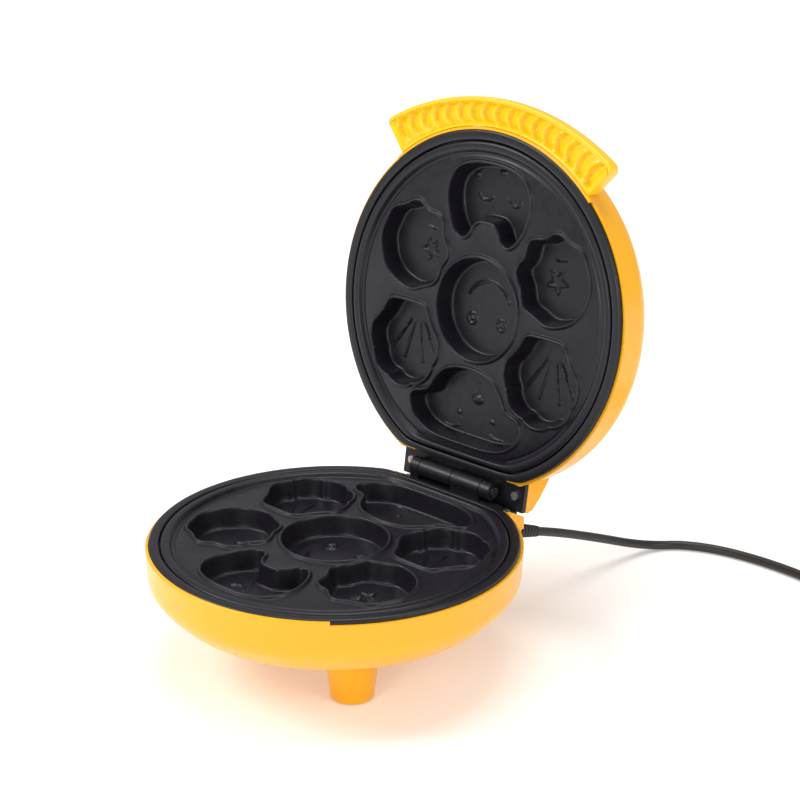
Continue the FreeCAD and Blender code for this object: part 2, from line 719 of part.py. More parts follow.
def hinge_bracket(side):
    """A plate with screw holes and curled knuckles that reach the hinge axis."""
    if side == "lower":
        plate_low = RIM - 10.0
        solids = [box("lowerLeaf", 84.6, 14.0, 3.0, (-42.3, 96.2, plate_low)),
                  box("lowerSill", 72.0, 7.2, 4.0, (-36.0, 96.2, RIM - 7.0))]
    else:
        plate_low = RIM + 9.2
        solids = [box("upperLeaf", 94.6, 17.0, 3.0, (-47.3, 96.2, plate_low))]
    bores = []
    for number, (left, right) in enumerate(BASE_KNUCKLES if side == "lower" else LID_KNUCKLES):
        name = "%sKnuckle%d" % (side, number)
        solids.append(cylinder(name, BARREL, right - left, (left, HINGE_Y, HINGE_Z), ALONG_X))
        arm_low = RIM - 8.0 if side == "lower" else HINGE_Z
        arm_height = size("hinge_rise") + 8.0 if side == "lower" else 7.0
        arm_depth = 8.4 if side == "lower" else 9.4
        solids.append(box(name + "Arm", right - left, arm_depth, arm_height, (left, 99.5, arm_low)))
        bores.append(cylinder(name + "Bore", size("pin_radius") + size("pin_clearance"),
                              right - left + 2.0, (left - 1.0, HINGE_Y, HINGE_Z), ALONG_X))
    for number, spot in enumerate(HINGE_SCREWS[side]):
        bores.append(cylinder("%sLeafHole%d" % (side, number), size("screw_radius") + 0.05, 8.0,
                              spot + (plate_low - 2.0,)))
    sub_part(side + "_hinge_bracket", cut(side + "Bracket", fuse(side + "Hinge", solids), bores),
             BODY_OF[side])
    screws = []
    for number, spot in enumerate(HINGE_SCREWS[side]):
        name = "%sHingeScrew%d" % (side, number)
        shank_low = RIM - 14.0 if side == "lower" else RIM + 9.1
        head_low = RIM - 7.0 if side == "lower" else RIM + 7.6
        shank = cylinder(name + "Shank", size("screw_radius"), 7.1, spot + (shank_low,))
        head = cylinder(name + "Head", 2.5, 1.6, spot + (head_low,))
        screws.append(fuse(name, [shank, head]))
    sub_part(side + "_hinge_screws", group(side + "HingeScrews", screws), BODY_OF[side])


def hinge_pin():
    left = BASE_KNUCKLES[0][0] - 0.2
    right = LID_KNUCKLES[1][1] + 0.3
    shaft = cylinder("pinShaft", size("pin_radius"), right - left, (left, HINGE_Y, HINGE_Z), ALONG_X)
    ends = [cylinder("pinHead", 3.4, 1.4, (left - 1.4, HINGE_Y, HINGE_Z), ALONG_X),
            cylinder("pinClip", 3.0, 1.0, (right, HINGE_Y, HINGE_Z), ALONG_X)]
    sub_part("hinge_pin", fuse("hingePin", [shaft] + ends))


# ---------------------------------------------------------------- handle and lamps

def front_sector(name, half_angle, height, low):
    """A wedge of a disc across the front of the plates."""
    start = Rotation(Vector(0, 0, 1), -90 - half_angle)
    return cylinder(name, 140.0, height, (0, 0, low), start, 2 * half_angle)


def handle(outer_outline):
    """A curved tray-like grip on the lid's front, with radial ribs in its hollow underside."""
    half = size("handle_half_angle").number
    low = LID_RIM + 0.8
    top_at = low + size("handle_height") - 4.0
    outer = size("handle_radius")
    middle = size("handle_setback")
    lip = size("handle_lip")
    block = common("gripBlock", cylinder("gripDisc", outer, size("handle_height"), (0, middle, low)),
                   front_sector("gripSector", half, size("handle_height"), low))
    tray = common("gripTray", cylinder("gripTrayDisc", outer - lip, 6.0, (0, middle, low - 1.0)),
                  front_sector("gripTraySector", half - 1.2, 6.0, low - 1.0))
    core = cylinder("gripTrayCore", SHELL + 1.4, 8.0, (0, 0, low - 2.0))
    tray_ring = cut("gripTrayRing", tray, [core])
    dome_twin = turned("gripDome", outer_outline)
    bore = cylinder("gripBore", SHELL - 1.2, 30.0, (0, 0, low - 5.0))
    shave = cut("gripShave", cylinder("gripShaveDisc", outer + 3.0, 4.2, (0, middle, top_at)),
                [cone("gripShaveCone", outer, outer - 3.15, 4.2, (0, middle, top_at))])
    body = cut("gripShaped", block, [tray_ring, dome_twin, bore, shave])
    ribs = []
    count = 17
    for number in range(count):
        angle = -90 - half + 4.0 + number * (2 * half - 8.0) / (count - 1)
        turn = Rotation(Vector(0, 0, 1), angle).multiply(ALONG_X)
        start = 109.0
        across = math.cos(math.radians(angle))
        forward = math.sin(math.radians(angle))
        reach = math.sqrt((outer - lip).number ** 2 - (middle.number * across) ** 2)
        length = reach + middle.number * forward + 0.4 - start
        ribs.append(cylinder("gripRib%d" % number, 2.2, length,
                             (start * across, start * forward, low + 5.8), turn))
    sub_part("handle", cut("grip", fuse("gripRibbed", [body] + ribs), handle_screw_holes("grip")),
             "lid")
    screws = []
    for number, (x, y, turn) in enumerate(handle_screw_places()):
        name = "gripScrew%d" % number
        shank = cylinder(name + "Shank", GRIP_SCREW, 12.0, (x, y, GRIP_SCREW_AT), turn)
        head = cylinder(name + "Head", 2.2, 1.4, (x, y, GRIP_SCREW_AT), turn)
        screws.append(fuse(name, [shank, head]))
    sub_part("handle_screws", group("gripScrews", screws), "lid")


def handle_screw_places():
    places = []
    for angle in (-120, -60):
        turn = Rotation(Vector(0, 0, 1), angle).multiply(ALONG_X)
        distance = 99.6
        x = distance * math.cos(math.radians(angle))
        y = distance * math.sin(math.radians(angle))
        places.append((x, y, turn))
    return places


def handle_screw_holes(prefix="shell"):
    return [cylinder("%sScrewHole%d" % (prefix, n), GRIP_SCREW + 0.05, 12.2,
                     (x, y, GRIP_SCREW_AT), turn)
            for n, (x, y, turn) in enumerate(handle_screw_places())]


def lamps():
    for side, colour in ((-1, "power"), (1, "ready")):
        x = 9.0 * side
        stem = cylinder(colour + "Stem", 3.0, 5.0, (x, -58.0, LID_RIM + 43.4))
        cap = cylinder(colour + "Cap", 3.8, 1.2, (x, -58.0, LID_RIM + 48.4))
        sub_part(colour + "_lamp_lens", fuse(colour + "Lens", [stem, cap]), "lid")
    tray = box("lampTray", 34.0, 12.0, 5.4, (-17.0, -64.0, LID_RIM + 37.2))
    sockets = [cylinder("lampSocket%d" % side, 2.6, 8.0, (9.0 * side, -58.0, LID_RIM + 39.0))
               for side in (-1, 1)]
    sub_part("lamp_holder", cut("lampHolder", tray, sockets), "lid")
    bulbs = [cylinder("lampBulb%d" % side, 2.4, 4.0, (9.0 * side, -58.0, LID_RIM + 39.1))
             for side in (-1, 1)]
    sub_part("neon_lamps", group("neonLamps", bulbs), "lid")


# ---------------------------------------------------------------- electrics

def controls(side):
    under = size("mould_depth") + size("casting_wall")
    if side == "lower":
        disc_low = level(side, under + 7.6)
        stat = fuse("lowerStat", [cylinder("lowerStatCap", 8.0, 5.6, (0, 0, disc_low + 2.0)),
                                  cylinder("lowerStatBase", 6.4, 2.0, (0, 0, disc_low))])
        sub_part("thermostat", stat)
        block = box("terminalBody", 26.0, 12.0, 9.0, (-13.0, 34.0, level(side, 45.5)))
        sub_part("terminal_block", group("terminalBlock", [block]))
    fuse_low = level(side, 22.0)
    link = cylinder(side + "FuseBody", 2.2, 14.0, (-7.0, -34.0, fuse_low), ALONG_X)
    sub_part(side + "_thermal_fuse", group(side + "Fuse", [link]), BODY_OF[side])


def wiring():
    low = RIM.number
    wire = 1.1
    runs = {"left": [(-13.4, 86.2, low - 18.6), (-13.6, 89.0, low - 26.0), (-10.0, 80.0, low - 34.0),
                     (-7.0, 66.0, low - 39.0), (-6.0, 46.6, low - 41.0)],
            "right": [(13.4, 86.2, low - 18.6), (13.6, 89.0, low - 26.0), (10.0, 80.0, low - 34.0),
                      (7.0, 66.0, low - 39.0), (6.0, 46.6, low - 41.0)],
            "mains": [(38.0, 102.8, low - 18.0), (38.0, 92.0, low - 21.6), (30.0, 76.0, low - 29.0),
                      (17.0, 62.0, low - 38.5), (11.0, 46.6, low - 41.0)]}
    sub_part("lower_wiring", group("lowerWires",
                                   [tube(name + "Wire", route, wire) for name, route in runs.items()]))
    high = LID_RIM.number
    runs = {"upperLeft": [(-13.4, 86.2, high + 19.6), (-12.0, 82.0, high + 28.0),
                          (-9.0, 60.0, high + 33.0), (-6.0, 20.0, high + 36.0),
                          (-9.0, -30.0, high + 38.0), (-9.0, -51.8, high + 40.0)],
            "upperRight": [(13.4, 86.2, high + 19.6), (12.0, 82.0, high + 28.0),
                           (9.0, 60.0, high + 33.0), (6.0, 20.0, high + 36.0),
                           (9.0, -30.0, high + 38.0), (9.0, -51.8, high + 40.0)]}
    sub_part("upper_wiring", group("upperWires",
                                   [tube(name + "Wire", route, wire) for name, route in runs.items()]),
             "lid")


# ---------------------------------------------------------------- feet, cord and plug

def foot_pads():
    pads = []
    height = size("foot_pad_height")
    for side in (-1, 1):
        where = (size("foot_spread") * side, -size("foot_forward"), 0.0)
        pads.append(cylinder("frontPad%d" % side, size("foot_radius") - 3.4, height, where))
    pads.append(box("rearPad", 24.0, 9.0, height, (-12.0, 80.5, 0.0)))
    sub_part("foot_pads", group("footPads", pads))


CORD_ROUTE = ((38, 135.1, 44.8), (38.5, 152, 38.8), (39.5, 175, 29.6), (41, 199, 19.6),
              (44, 222, 9.8), (49, 243, 2.9), (62, 257, 2.9), (82, 266, 2.9), (104, 270, 2.9),
              (128, 271, 2.9), (152, 269, 2.9), (176, 262, 2.9))
COIL_CENTRE = (184.0, 295.0)


def cord():
    radius = size("cord_diameter").number / 2
    sleeve = cone("reliefSleeve", 5.2, 3.6, 23.7, along_cord(2.3), CORD_TURN)
    neck = cylinder("reliefNeck", 3.6, 9.4, along_cord(-6.6), CORD_TURN)
    flange = cylinder("reliefFlange", 4.6, 1.4, along_cord(-6.6), CORD_TURN)
    bore = cylinder("reliefBore", radius, 30.0, along_cord(8.0), CORD_TURN)
    solid = fuse("reliefSolid", [sleeve, neck, flange])
    sub_part("cord_strain_relief", cut("cordRelief", solid, [bore]))
    first = tuple(as_size(part).number for part in along_cord(8.0))
    sub_part("power_cord", tube("powerCord", (first,) + CORD_ROUTE, radius, report=True))
    mean = size("coil_radius")
    outer = cylinder("coilOuter", mean + 5.8, 11.4, COIL_CENTRE + (0.0,))
    inner = cylinder("coilInner", mean - 5.8, 13.0, COIL_CENTRE + (-1.0,))
    sub_part("cord_coil", cut("cordCoil", outer, [inner]))


def plug():
    """A moulded two-pin plug lying on the coil, its pins pointing back over the coil."""
    height = 11.4 + 7.0
    x = COIL_CENTRE[0]
    y = COIL_CENTRE[1] + 22.0
    tail = cone("plugTail", 5.0, 3.6, 14.0, (x - 6.0, y, height), ALONG_X)
    grip = cone("plugGrip", 7.0, 6.0, 16.0, (x - 20.0, y, height), ALONG_X)
    face = box("plugFace", 8.0, 30.0, 13.0, (x - 28.0, y - 15.0, height - 6.5))
    sub_part("plug_body", fuse("plugBody", [tail, grip, face]))
    pins = [cylinder("plugPin%d" % sign, 2.4, 19.0, (x - 47.0, y + 9.5 * sign, height), ALONG_X)
            for sign in (-1, 1)]
    sub_part("plug_pins", group("plugPins", pins))


# ---------------------------------------------------------------- build, place, check, write

lower_housing()
dome_outline = upper_housing()
for which in ("lower", "upper"):
    trim_ring(which)
    plate(which)
    plate_screws(which)
    heater(which)
    reflector(which)
    hinge_bracket(which)
    controls(which)
hinge_pin()
handle(dome_outline)
lamps()
wiring()
foot_pads()
cord()
plug()
doc.recompute()

back = Placement(Vector(0, -size("centre_shift").number, 0), Rotation())
to_axis = Placement(Vector(0, HINGE_Y.number, HINGE_Z.number), Rotation())
swing = Placement(Vector(), Rotation(Vector(1, 0, 0), -size("open_angle").number))
opened = back.multiply(to_axis).multiply(swing).multiply(to_axis.inverse())
for item, moves_with in parts.values():
    item.Placement = opened if moves_with == "lid" else back
doc.recompute()

failed = [item.Name for item in doc.Objects if "Invalid" in item.State or "Error" in item.State]
if failed:
    raise RuntimeError("failed: " + ", ".join(failed))
for label, (item, moves_with) in parts.items():
    shape = item.Shape
    if shape.isNull() or not shape.isValid() or not shape.Solids:
        raise RuntimeError("bad shape: " + label)
    print("%-22s %d solids %9.0f mm3" % (label, len(shape.Solids), shape.Volume))

os.makedirs("parts", exist_ok=True)
for label, (item, moves_with) in parts.items():
    item.Shape.exportStep("parts/%s.step" % label)
loose = ("power_cord", "cord_coil", "plug_body", "plug_pins")
whole = Part.makeCompound([item.Shape for label, (item, moves_with) in parts.items()
                           if label not in loose])
limits = whole.optimalBoundingBox(False, False)
print("object box %.2f %.2f %.2f to %.2f %.2f %.2f" % (
    limits.XMin, limits.YMin, limits.ZMin, limits.XMax, limits.YMax, limits.ZMax))
print("%d sub-parts written" % len(parts))
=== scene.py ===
import json
import math

import bmesh
import bpy
from mathutils import Matrix, Vector
from mathutils.geometry import delaunay_2d_cdt


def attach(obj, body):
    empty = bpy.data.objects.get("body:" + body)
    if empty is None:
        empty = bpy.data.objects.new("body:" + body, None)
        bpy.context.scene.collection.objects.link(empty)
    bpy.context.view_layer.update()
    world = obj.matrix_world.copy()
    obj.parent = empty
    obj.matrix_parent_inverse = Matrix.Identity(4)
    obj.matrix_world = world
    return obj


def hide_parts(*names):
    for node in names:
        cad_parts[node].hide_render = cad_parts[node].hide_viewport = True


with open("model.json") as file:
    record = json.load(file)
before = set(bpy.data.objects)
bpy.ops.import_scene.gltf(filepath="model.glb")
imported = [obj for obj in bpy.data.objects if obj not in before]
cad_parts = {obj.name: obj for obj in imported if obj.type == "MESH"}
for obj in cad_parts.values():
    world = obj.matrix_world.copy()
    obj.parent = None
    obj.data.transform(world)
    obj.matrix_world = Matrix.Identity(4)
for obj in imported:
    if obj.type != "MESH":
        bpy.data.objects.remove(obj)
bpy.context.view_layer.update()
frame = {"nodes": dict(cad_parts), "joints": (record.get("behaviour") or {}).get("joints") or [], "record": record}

# A mini cake maker with its lid open.  Shapes are drawn in millimetres in the frame of a plate
# (X right, Y towards the hinge, Z out of the plate) and moved into place by one matrix a side.

MM = 0.001
HINGE = Vector(frame["joints"][0]["pos_m"])
OPEN = math.radians(frame["joints"][0]["range_deg"][1])
HINGE_OFFSET = 104.2 * MM           # plate's middle to the hinge axis
HINGE_RISE = 3.3 * MM               # base's rim plane to the hinge axis
PLATE_GAP = 1.8 * MM
RIM = HINGE.z - HINGE_RISE
MIDDLE = HINGE.y - HINGE_OFFSET
BODY_OF = {"lower": "base", "upper": "lid"}


def side_matrix(side):
    """Millimetres in a plate's own frame to metres in the row's frame."""
    scale = Matrix.Scale(MM, 4)
    if side == "lower":
        return Matrix.Translation((0, MIDDLE, RIM)) @ scale
    flip = Matrix.Diagonal((1, 1, -1, 1))
    closed = Matrix.Translation((0, MIDDLE, RIM + PLATE_GAP)) @ scale @ flip
    swing = Matrix.Translation(HINGE) @ Matrix.Rotation(-OPEN, 4, "X") @ Matrix.Translation(-HINGE)
    return swing @ closed


# ---------------------------------------------------------------- camera

CAMERA_PLACE = Vector((0.7505, -0.7982, 0.5615))
CAMERA_AZIMUTH = math.radians(42.55)
CAMERA_DOWN = math.radians(20.72)
CAMERA_ROLL = math.radians(0.45)
CAMERA_LENS = 93.5


def make_camera():
    data = bpy.data.cameras.new("camera")
    data.lens = CAMERA_LENS
    data.sensor_width = 36.0
    data.clip_end = 20.0
    camera = bpy.data.objects.new("camera", data)
    bpy.context.scene.collection.objects.link(camera)
    turn = (Matrix.Rotation(CAMERA_AZIMUTH, 4, "Z")
            @ Matrix.Rotation(math.pi / 2 - CAMERA_DOWN, 4, "X")
            @ Matrix.Rotation(CAMERA_ROLL, 4, "Z"))
    camera.matrix_world = Matrix.Translation(CAMERA_PLACE) @ turn
    bpy.context.scene.camera = camera


make_camera()


# ---------------------------------------------------------------- materials

def new_material(name, colour, roughness, metallic=0.0, coat=0.0, specular=0.5):
    material = bpy.data.materials.new(name)
    material.use_nodes = True
    shader = material.node_tree.nodes["Principled BSDF"]
    shader.inputs["Base Color"].default_value = (*colour, 1.0)
    shader.inputs["Roughness"].default_value = roughness
    shader.inputs["Metallic"].default_value = metallic
    shader.inputs["Coat Weight"].default_value = coat
    shader.inputs["Specular IOR Level"].default_value = specular
    return material


def noise(material, scale, detail=4.0, stretch=(1.0, 1.0, 1.0)):
    """A noise value that rides with the object's own coordinates."""
    nodes = material.node_tree.nodes
    links = material.node_tree.links
    place = nodes.new("ShaderNodeTexCoord")
    mapping = nodes.new("ShaderNodeMapping")
    mapping.inputs["Scale"].default_value = stretch
    texture = nodes.new("ShaderNodeTexNoise")
    texture.inputs["Scale"].default_value = scale
    texture.inputs["Detail"].default_value = detail
    links.new(place.outputs["Object"], mapping.inputs["Vector"])
    links.new(mapping.outputs["Vector"], texture.inputs["Vector"])
    return texture.outputs["Fac"]


def ranged(material, value, low, high):
    node = material.node_tree.nodes.new("ShaderNodeMapRange")
    node.inputs["From Min"].default_value = 0.3
    node.inputs["From Max"].default_value = 0.7
    node.inputs["To Min"].default_value = low
    node.inputs["To Max"].default_value = high
    material.node_tree.links.new(value, node.inputs["Value"])
    return node.outputs["Result"]


def vary_roughness(material, scale, low, high, stretch=(1.0, 1.0, 1.0)):
    shader = material.node_tree.nodes["Principled BSDF"]
    value = ranged(material, noise(material, scale, 5.0, stretch), low, high)
    material.node_tree.links.new(value, shader.inputs["Roughness"])


def vary_colour(material, scale, first, second):
    nodes = material.node_tree.nodes
    shader = nodes["Principled BSDF"]
    ramp = nodes.new("ShaderNodeValToRGB")
    ramp.color_ramp.elements[0].position = 0.35
    ramp.color_ramp.elements[0].color = (*first, 1.0)
    ramp.color_ramp.elements[1].position = 0.65
    ramp.color_ramp.elements[1].color = (*second, 1.0)
    material.node_tree.links.new(noise(material, scale), ramp.inputs["Fac"])
    material.node_tree.links.new(ramp.outputs["Color"], shader.inputs["Base Color"])


def bump(material, scale, strength, depth, stretch=(1.0, 1.0, 1.0)):
    nodes = material.node_tree.nodes
    links = material.node_tree.links
    shader = nodes["Principled BSDF"]
    node = nodes.new("ShaderNodeBump")
    node.inputs["Strength"].default_value = strength
    node.inputs["Distance"].default_value = depth
    links.new(noise(material, scale, 3.0, stretch), node.inputs["Height"])
    links.new(node.outputs["Normal"], shader.inputs["Normal"])


def yellow_plastic(name, colour):
    """Glossy moulded plastic: nearly even colour, a faint mould texture under the gloss."""
    material = new_material(name, colour, 0.32, coat=0.20, specular=0.4)
    vary_colour(material, 6.0, tuple(0.985 * c for c in colour), colour)
    vary_roughness(material, 120.0, 0.27, 0.33)
    bump(material, 700.0, 0.03, 0.0002)
    shader = material.node_tree.nodes["Principled BSDF"]
    shader.inputs["Coat Roughness"].default_value = 0.14
    shader.inputs["Subsurface Weight"].default_value = 0.06
    shader.inputs["Subsurface Scale"].default_value = 0.003
    return material


def nonstick():
    """Dark satin coating on cast metal: a fine speckle and a soft sheen."""
    material = new_material("nonstick_coating", (0.009, 0.008, 0.012), 0.38, specular=0.34)
    vary_colour(material, 1400.0, (0.006, 0.005, 0.009), (0.012, 0.010, 0.016))
    vary_roughness(material, 240.0, 0.30, 0.42)
    bump(material, 1600.0, 0.08, 0.0002)
    return material


def black_plastic():
    material = new_material("black_plastic", (0.008, 0.008, 0.011), 0.36, specular=0.38)
    vary_roughness(material, 300.0, 0.30, 0.42)
    bump(material, 1800.0, 0.08, 0.0002)
    return material


def rubber(name, shade, roughness):
    material = new_material(name, (shade, shade, shade * 1.08), roughness)
    vary_colour(material, 60.0, (shade * 0.85,) * 3, (shade * 1.2,) * 3)
    bump(material, 1500.0, 0.12, 0.0002)
    return material


def metal(name, colour, roughness, stretch=(1.0, 1.0, 1.0)):
    material = new_material(name, colour, roughness, metallic=1.0)
    vary_roughness(material, 220.0, roughness * 0.75, roughness * 1.35, stretch)
    bump(material, 500.0, 0.05, 0.0002, stretch)
    return material


def lens(name, colour):
    material = new_material(name, colour, 0.12, coat=0.5)
    shader = material.node_tree.nodes["Principled BSDF"]
    shader.inputs["Transmission Weight"].default_value = 0.35
    bump(material, 700.0, 0.05, 0.0002)
    return material


def ceramic(name, colour):
    material = new_material(name, colour, 0.55)
    vary_colour(material, 200.0, tuple(0.9 * c for c in colour), colour)
    bump(material, 900.0, 0.1, 0.0003)
    return material


SLOTS = {
    "yellow_plastic": yellow_plastic("yellow_plastic", (0.90, 0.42, 0.003)),
    "nonstick_coating": nonstick(),
    "black_plastic": black_plastic(),
    "plated_steel": metal("plated_steel", (0.60, 0.60, 0.62), 0.32),
    "bright_steel": metal("bright_steel", (0.72, 0.72, 0.74), 0.16),
    "element_steel": metal("element_steel", (0.30, 0.29, 0.28), 0.42),
    "reflector_steel": metal("reflector_steel", (0.66, 0.66, 0.67), 0.25, (1.0, 8.0, 1.0)),
    "black_rubber": rubber("black_rubber", 0.020, 0.55),
    "cord_rubber": rubber("cord_rubber", 0.012, 0.42),
    "red_lens": lens("red_lens", (0.75, 0.02, 0.01)),
    "green_lens": lens("green_lens", (0.02, 0.50, 0.08)),
    "ceramic_white": ceramic("ceramic_white", (0.80, 0.78, 0.73)),
    "lamp_glass": lens("lamp_glass", (0.85, 0.75, 0.65)),
    "wire_sleeve": rubber("wire_sleeve", 0.6, 0.7),
}

slot_of = {entry["node"]: entry["material_slot"] for entry in frame["record"]["subparts"]}
for node_name, node in frame["nodes"].items():
    node.data.materials.clear()
    node.data.materials.append(SLOTS[slot_of[node_name]])


# ---------------------------------------------------------------- mesh helpers

def finish_piece(name, mesh, material_slot, body, nodes=()):
    """Link a mesh as a piece, colour it, ride it on its body and stand it for its nodes."""
    piece = bpy.data.objects.new(name, mesh)
    bpy.context.scene.collection.objects.link(piece)
    mesh.materials.append(SLOTS[material_slot])
    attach(piece, body)
    if nodes:
        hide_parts(*nodes)
    return piece


def mesh_from(bm, name, matrix=None, sharp=40.0):
    """Turn a bmesh into a smooth-shaded mesh with normals facing out and crisp corners."""
    if matrix is not None:
        bm.transform(matrix)
    bmesh.ops.remove_doubles(bm, verts=bm.verts, dist=0.00001)
    bmesh.ops.recalc_face_normals(bm, faces=bm.faces)
    limit = math.radians(sharp)
    for face in bm.faces:
        face.smooth = True
    for edge in bm.edges:
        edge.smooth = len(edge.link_faces) != 2 or edge.calc_face_angle(0.0) < limit
    mesh = bpy.data.meshes.new(name)
    bm.to_mesh(mesh)
    bm.free()
    return mesh


def add_loops(bm, loops, closed=True, cap_start=False, cap_end=False):
    """Bridge loops of equal length into a skin."""
    rows = [[bm.verts.new(point) for point in loop] for loop in loops]
    count = len(rows[0])
    last = count if closed else count - 1
    for first, second in zip(rows, rows[1:]):
        for index in range(last):
            after = (index + 1) % count
            bm.faces.new((first[index], first[after], second[after], second[index]))
    if cap_start:
        bm.faces.new(rows[0])
    if cap_end:
        bm.faces.new(rows[-1])
    return rows


def ring_angles(count):
    return [2 * math.pi * index / count for index in range(count)]


def lathe(bm, profile, segments=192, warp=None, close=True):
    """Turn a profile of (radius, height) about Z; warp may move each point."""
    loops = []
    for radius, height in profile + (profile[:1] if close else []):
        loop = []
        for angle in ring_angles(segments):
            point = (radius * math.cos(angle), radius * math.sin(angle), height)
            loop.append(warp(point, radius) if warp else point)
        loops.append(loop)
    return add_loops(bm, loops)


# ---------------------------------------------------------------- mould outlines

def curve_weights(f):
    """Catmull-Rom weights of four points in a row, a share f of the way from second to third."""
    return (-0.5 * f + f * f - 0.5 * f ** 3,
            1 - 2.5 * f * f + 1.5 * f ** 3,
            0.5 * f + 2 * f * f - 1.5 * f ** 3,
            -0.5 * f * f + 0.5 * f ** 3)


def smooth_run(points, steps):
    """A smooth curve through the points, from the second one to the last but one."""
    run = []
    for four in zip(points, points[1:], points[2:], points[3:]):
        for step in range(steps):
            weights = curve_weights(step / steps)
            run.append(tuple(sum(w * p[axis] for w, p in zip(weights, four)) for axis in (0, 1)))
    return run


def smooth_closed(corners, steps):
    return smooth_run(corners[-1:] + corners + corners[:2], steps)


def mirrored(half):
    return half + [(-x, y) for x, y in reversed(half[1:-1])]


CAT_HALF = [(0, -52.8), (6.0, -52.2), (10.0, -48.4), (12.6, -43.2), (16.8, -40.6), (21.8, -43.2),
            (27.2, -51.5), (30.2, -62.5), (29.0, -73.0), (23.2, -80.6), (12.6, -84.6), (0, -85.6)]
DOG_HALF = [(0, 81.0), (19.0, 80.6), (31.0, 77.9), (39.6, 71.6), (42.6, 64.2), (40.0, 59.4),
            (33.6, 57.6), (28.4, 54.6), (24.6, 47.8), (18.2, 41.0), (9.2, 37.6), (0, 36.8)]
CENTRE_RADIUS = 30.2


def shell_outline(centre_x, centre_y):
    bulges = 5
    steps = 16
    points = []
    for index in range(bulges * steps + 1):
        share = index / (bulges * steps)
        angle = math.radians(-24 + 228 * share)
        radius = 24.4 + 2.0 * math.sqrt(math.sin(math.pi * ((share * bulges) % 1.0)))
        points.append((radius * math.cos(angle), radius * math.sin(angle)))
    foot = [(-20.9, -12.2), (-18.2, -15.6), (-16.0, -20.0), (-12.5, -24.2), (-4.2, -25.0),
            (4.2, -25.0), (12.5, -24.2), (16.0, -20.0), (18.2, -15.6), (20.9, -12.2)]
    return [(x + centre_x, y + centre_y) for x, y in points + smooth_run(foot, 5)]


def cloud_outline(side):
    points = []
    for angle in ring_angles(160):
        bumpy = 0.5 + 0.5 * math.cos(angle + math.radians(38))
        radius = 25.2 + 1.7 * bumpy * math.cos(8 * angle)
        points.append((side * (radius * math.cos(angle) - 53.5), radius * math.sin(angle) - 28.2))
    return points if side > 0 else points[::-1]


def even_loop(points, count):
    """The closed outline again with points at even distances, anticlockwise."""
    area = sum(points[i - 1][0] * points[i][1] - points[i][0] * points[i - 1][1]
               for i in range(len(points)))
    if area < 0:
        points = points[::-1]
    ends = points + points[:1]
    runs = [math.dist(a, b) for a, b in zip(ends, ends[1:])]
    total = sum(runs)
    result = []
    index = 0
    passed = 0.0
    for number in range(count):
        goal = total * number / count
        while passed + runs[index] < goal:
            passed += runs[index]
            index += 1
        share = (goal - passed) / runs[index]
        a, b = ends[index], ends[index + 1]
        result.append((a[0] + (b[0] - a[0]) * share, a[1] + (b[1] - a[1]) * share))
    return result


def relaxed(points, rounds):
    """Soften an outline's corners a little."""
    for _ in range(rounds):
        count = len(points)
        points = [((points[i - 1][0] + 2 * points[i][0] + points[(i + 1) % count][0]) / 4,
                   (points[i - 1][1] + 2 * points[i][1] + points[(i + 1) % count][1]) / 4)
                  for i in range(count)]
    return points


def offset_outline(points, distance):
    count = len(points)
    moved = []
    for index, (x, y) in enumerate(points):
        x0, y0 = points[index - 1]
        x1, y1 = points[(index + 1) % count]
        run = math.hypot(x1 - x0, y1 - y0)
        moved.append((x + distance * (y1 - y0) / run, y - distance * (x1 - x0) / run))
    return moved


# ---------------------------------------------------------------- relief on the mould floors

def bump_of(distance, width, height):
    """A rounded ridge: full height on the line, nothing past its half width."""
    share = min(1.0, abs(distance) / (width / 2))
    return height * (1 - share * share) ** 2 * (1 + 0.6 * share * share)


def segment_distance(x, y, a, b):
    ax, ay = a
    bx, by = b
    run = (bx - ax) ** 2 + (by - ay) ** 2
    share = max(0.0, min(1.0, ((x - ax) * (bx - ax) + (y - ay) * (by - ay)) / run))
    return math.hypot(x - ax - share * (bx - ax), y - ay - share * (by - ay))


def arc_distance(x, y, centre, radius, low, high):
    """Distance to an arc between two angles in degrees, anticlockwise from low to high."""
    dx, dy = x - centre[0], y - centre[1]
    angle = math.degrees(math.atan2(dy, dx)) % 360
    span = (high - low) % 360
    if (angle - low) % 360 <= span:
        return abs(math.hypot(dx, dy) - radius)
    ends = [(centre[0] + radius * math.cos(math.radians(a)),
             centre[1] + radius * math.sin(math.radians(a))) for a in (low, high)]
    return min(math.dist((x, y), end) for end in ends)


# Each of these gives the height above the floor at a place measured from the mould's middle.

def smile_relief(x, y):
    height = bump_of(arc_distance(x, y, (0, 1), 16.5, 205, 335), 2.4, 1.1)
    for side in (-1, 1):
        centre = (11.0 * side, 8.5)
        height += bump_of(math.dist((x, y), centre) - 3.2, 1.8, 0.9)
        height += bump_of(math.dist((x, y), centre), 3.0, 1.3)
    return height


def shell_relief(x, y):
    height = 0.0
    for angle in (58, 77, 103, 122):
        reach = 33.0 if angle in (77, 103) else 31.0
        a = math.radians(angle)
        start = (9 * math.cos(a), -20 + 9 * math.sin(a))
        end = (reach * math.cos(a), -20 + reach * math.sin(a))
        height = max(height, bump_of(segment_distance(x, y, start, end), 2.0, 1.2))
    return height


def cloud_relief(x, y):
    height = 0.0
    points = []
    for index in range(10):
        radius = 7.4 if index % 2 == 0 else 3.4
        a = math.radians(100 + 36 * index)
        points.append((5.0 + radius * math.cos(a), 2.0 + radius * math.sin(a)))
    for a, b in zip(points, points[1:] + points[:1]):
        height = max(height, bump_of(segment_distance(x, y, a, b), 1.7, 1.0))
    return max(height, bump_of(segment_distance(x, y, (0.5, -11.0), (7.5, -9.8)), 1.8, 1.0))


